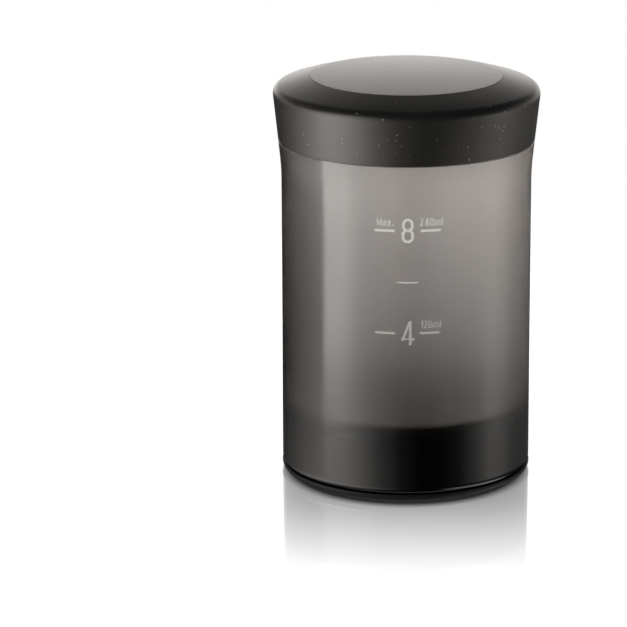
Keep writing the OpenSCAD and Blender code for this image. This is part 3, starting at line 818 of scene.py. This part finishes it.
class Studio(Graph):
    """Node tree of the world, whose tones depend on the direction."""

    def __init__(self, name):
        world = bpy.data.worlds.new(name)
        bpy.context.scene.world = world
        world.use_nodes = True
        world.cycles.sampling_method = "NONE"
        super().__init__(world.node_tree)
        self.tree.nodes.clear()
        way = self.add("ShaderNodeTexCoord").outputs["Generated"]
        self.x, self.y, self.z = self.add("ShaderNodeSeparateXYZ", {0: way}).outputs
        turn = self.math("ARCTAN2", self.x, self.math("MULTIPLY", self.y, -1.0))
        self.turn = self.math("ADD", self.math("DIVIDE", turn, 2 * math.pi), 0.5)
        self.behind = self.ease(self.y, *BEHIND_STEP)

    def ease(self, value, low, high, to_low=0.0, to_high=1.0):
        """As span, with soft ends."""
        return self.span(value, low, high, to_low, to_high, "SMOOTHSTEP")

    def zone(self, value, rise, fall):
        """1 between two soft steps, and 0 outside them."""
        return self.product(self.ease(value, *rise), self.ease(value, *fall, 1.0, 0.0))

    def ramp(self, value, stops):
        """Tone at a value, between stops of (position, tone)."""
        node = self.add("ShaderNodeValToRGB", {0: value})
        while len(node.color_ramp.elements) < len(stops):
            node.color_ramp.elements.new(0.5)
        for element, (position, tone) in zip(node.color_ramp.elements, stops):
            element.position, element.color = position, (tone, tone, tone, 1)
        return node.outputs["Color"]

    def tones_round(self, tones):
        """Tone at the direction's turn from the marks, between stops of (degrees, tone)."""
        return self.ramp(self.turn, [((degrees + 180) / 360, tone) for degrees, tone in tones])


def lid_share(w):
    """Share of the side lights below the wall's range, where the lid's side mirrors less on its right."""
    right = w.ease(w.x, 0.0, 0.4, 1.45, 0.2)
    return w.ease(w.z, *LID_STEP, w.ease(w.z, -0.6, -0.5, 0.5, right), 1.0)


def wall_share(w):
    """Share in the wall's range: a strip with a crisp edge on the left, and a lift low on the right."""
    left = w.ease(w.z, -0.298, -0.278, 4.5, 2.25)
    strip = w.product(w.tones_round(STRIP_TONES), w.ease(w.x, -0.7, -0.4, left, 2.35))
    lift = w.product(w.ease(w.x, 0.2, 0.6, 0.0, 0.6), w.zone(w.z, LIFT_RISE, LIFT_FALL))
    wall = w.blend(w.zone(w.z, WALL_RISE, WALL_FALL), 1.0, strip)
    return w.product(wall, w.math("ADD", lift, 1.0))


def side_lights(w):
    """Soft lights at both sides, and the thin lines of light along the chamber's lower edge."""
    light = w.product(w.tones_round(SIDE_TONES), STRIP_LEVEL, lid_share(w), wall_share(w))
    light = w.product(light, w.ease(w.z, *EDGE_STEP, 0.2, 1.0))
    light = w.math("MAXIMUM", light, w.ease(w.z, -0.92, -0.74, 0.3, 0.0))
    front_line = w.zone(w.z, FRONT_LINE_RISE, FRONT_LINE_FALL)
    right_line = w.product(w.zone(w.z, RIGHT_LINE_RISE, RIGHT_LINE_FALL), w.ease(w.x, 0.42, 0.62, 0.0, 2.6))
    return w.math("ADD", w.math("ADD", light, front_line), right_line)


def backdrop(w):
    """Glow behind the brewer, brightest near the horizon and weaker to the right."""
    tall = w.ramp(w.math("ADD", w.math("MULTIPLY", w.z, 0.5), 0.5), BACKDROP_TONES)
    depth = w.math("ADD", w.math("MULTIPLY", w.behind, GLOW_LEVEL - GLOW_FRONT), GLOW_FRONT)
    across = w.math("ABSOLUTE", w.x)
    middle = w.ease(across, 0.05, 0.12, 0.714, 1.0)
    sides = w.ease(across, 0.2, 0.6, w.ease(w.z, *HIGH_STEP, 1.4, 1.1), 0.42)
    right = w.ease(w.x, 0.0, 0.3, 1.0, w.ease(w.z, *HIGH_STEP, 0.75, 0.45))
    return w.product(tall, depth, middle, sides, right)


def above_horizon(w):
    """1 above a soft horizon, which lies lower behind the brewer and higher on its left."""
    left = w.product(w.ease(w.x, -0.2, -0.6), w.ease(w.y, -0.3, 0.05, 0.42, 0.2))
    rise = w.math("SUBTRACT", w.math("MULTIPLY", w.behind, 0.14), left)
    return w.ease(w.math("ADD", w.z, rise), *HORIZON)


def through_plastic(w):
    """White that the smoke plastic lets through, with dark flags behind the brewer's right and left edges."""
    right = w.ease(w.x, -0.15, 0.57, 1.0, w.ease(w.y, *FLAG_STEP, 0.7, 0.03))
    left = w.ease(w.x, -0.8, -0.2, w.ease(w.y, *FLAG_STEP, 0.9, 0.55), 1.0)
    return w.product(right, left)


def make_world():
    """White for the camera and in the table's mirror, an even soft light, and a studio in the gloss."""
    w = Studio("studio")
    path = w.add("ShaderNodeLightPath").outputs
    mirrored = w.math("GREATER_THAN", path["Glossy Depth"], 0.5)
    gloss = w.blend(above_horizon(w), side_lights(w), backdrop(w))
    level = w.blend(path["Is Camera Ray"], SOFT_LEVEL, 1.0)
    level = w.blend(path["Is Transmission Ray"], level, through_plastic(w))
    level = w.blend(mirrored, level, gloss)
    level = w.blend(path["Is Singular Ray"], level, 1.0)
    warm = w.product(mirrored, w.math("SUBTRACT", 1.0, path["Is Singular Ray"]))
    colour = w.mix(warm, WHITE, GLOSS_COLOUR)
    background = w.add("ShaderNodeBackground", {"Color": colour, "Strength": level})
    output = w.add("ShaderNodeOutputWorld")
    w.tree.links.new(background.outputs[0], output.inputs[0])


# Lamp and camera

KEY_PLACE = Vector((-0.12, -0.25, 0.95))
KEY_AIM = Vector((0, 0, 0.06))
KEY_SIZE = 1.0
KEY_POWER = 6
# Lens and sensor are in millimetres, angles in degrees, and the shift in widths of the frame
LENS = 205.6
SENSOR = 36.0
FRAME_SHIFT = -0.0919
CAMERA_PLACE = (0, -1.0566, 0.3496)
CAMERA_DROP = 15.908
CAMERA_TURN = 0.58


def make_key_lamp():
    """Soft square lamp above the brewer's front."""
    light = bpy.data.lights.new("key", "AREA")
    light.shape, light.size, light.size_y, light.energy = "RECTANGLE", KEY_SIZE, KEY_SIZE, KEY_POWER
    lamp = bpy.data.objects.new("key", light)
    bpy.context.scene.collection.objects.link(lamp)
    lamp.location = KEY_PLACE
    lamp.rotation_euler = (KEY_AIM - KEY_PLACE).to_track_quat("-Z", "Y").to_euler()
    lamp.visible_camera = lamp.visible_glossy = lamp.visible_transmission = False


def make_camera():
    """Camera at the photograph's place, with the small shift that its framing needs."""
    data = bpy.data.cameras.new("camera")
    data.lens, data.sensor_width = LENS, SENSOR
    data.shift_x = FRAME_SHIFT
    camera = bpy.data.objects.new("camera", data)
    bpy.context.scene.collection.objects.link(camera)
    camera.location = CAMERA_PLACE
    camera.rotation_euler = (math.radians(90 - CAMERA_DROP), 0, math.radians(CAMERA_TURN))
    bpy.context.scene.camera = camera


make_chamber()
make_foot()
make_marks()
make_lid()
make_pad()
dress_cad_nodes()
make_floor()
make_world()
make_key_lamp()
make_camera()
bpy.context.scene.view_settings.view_transform = "Standard"
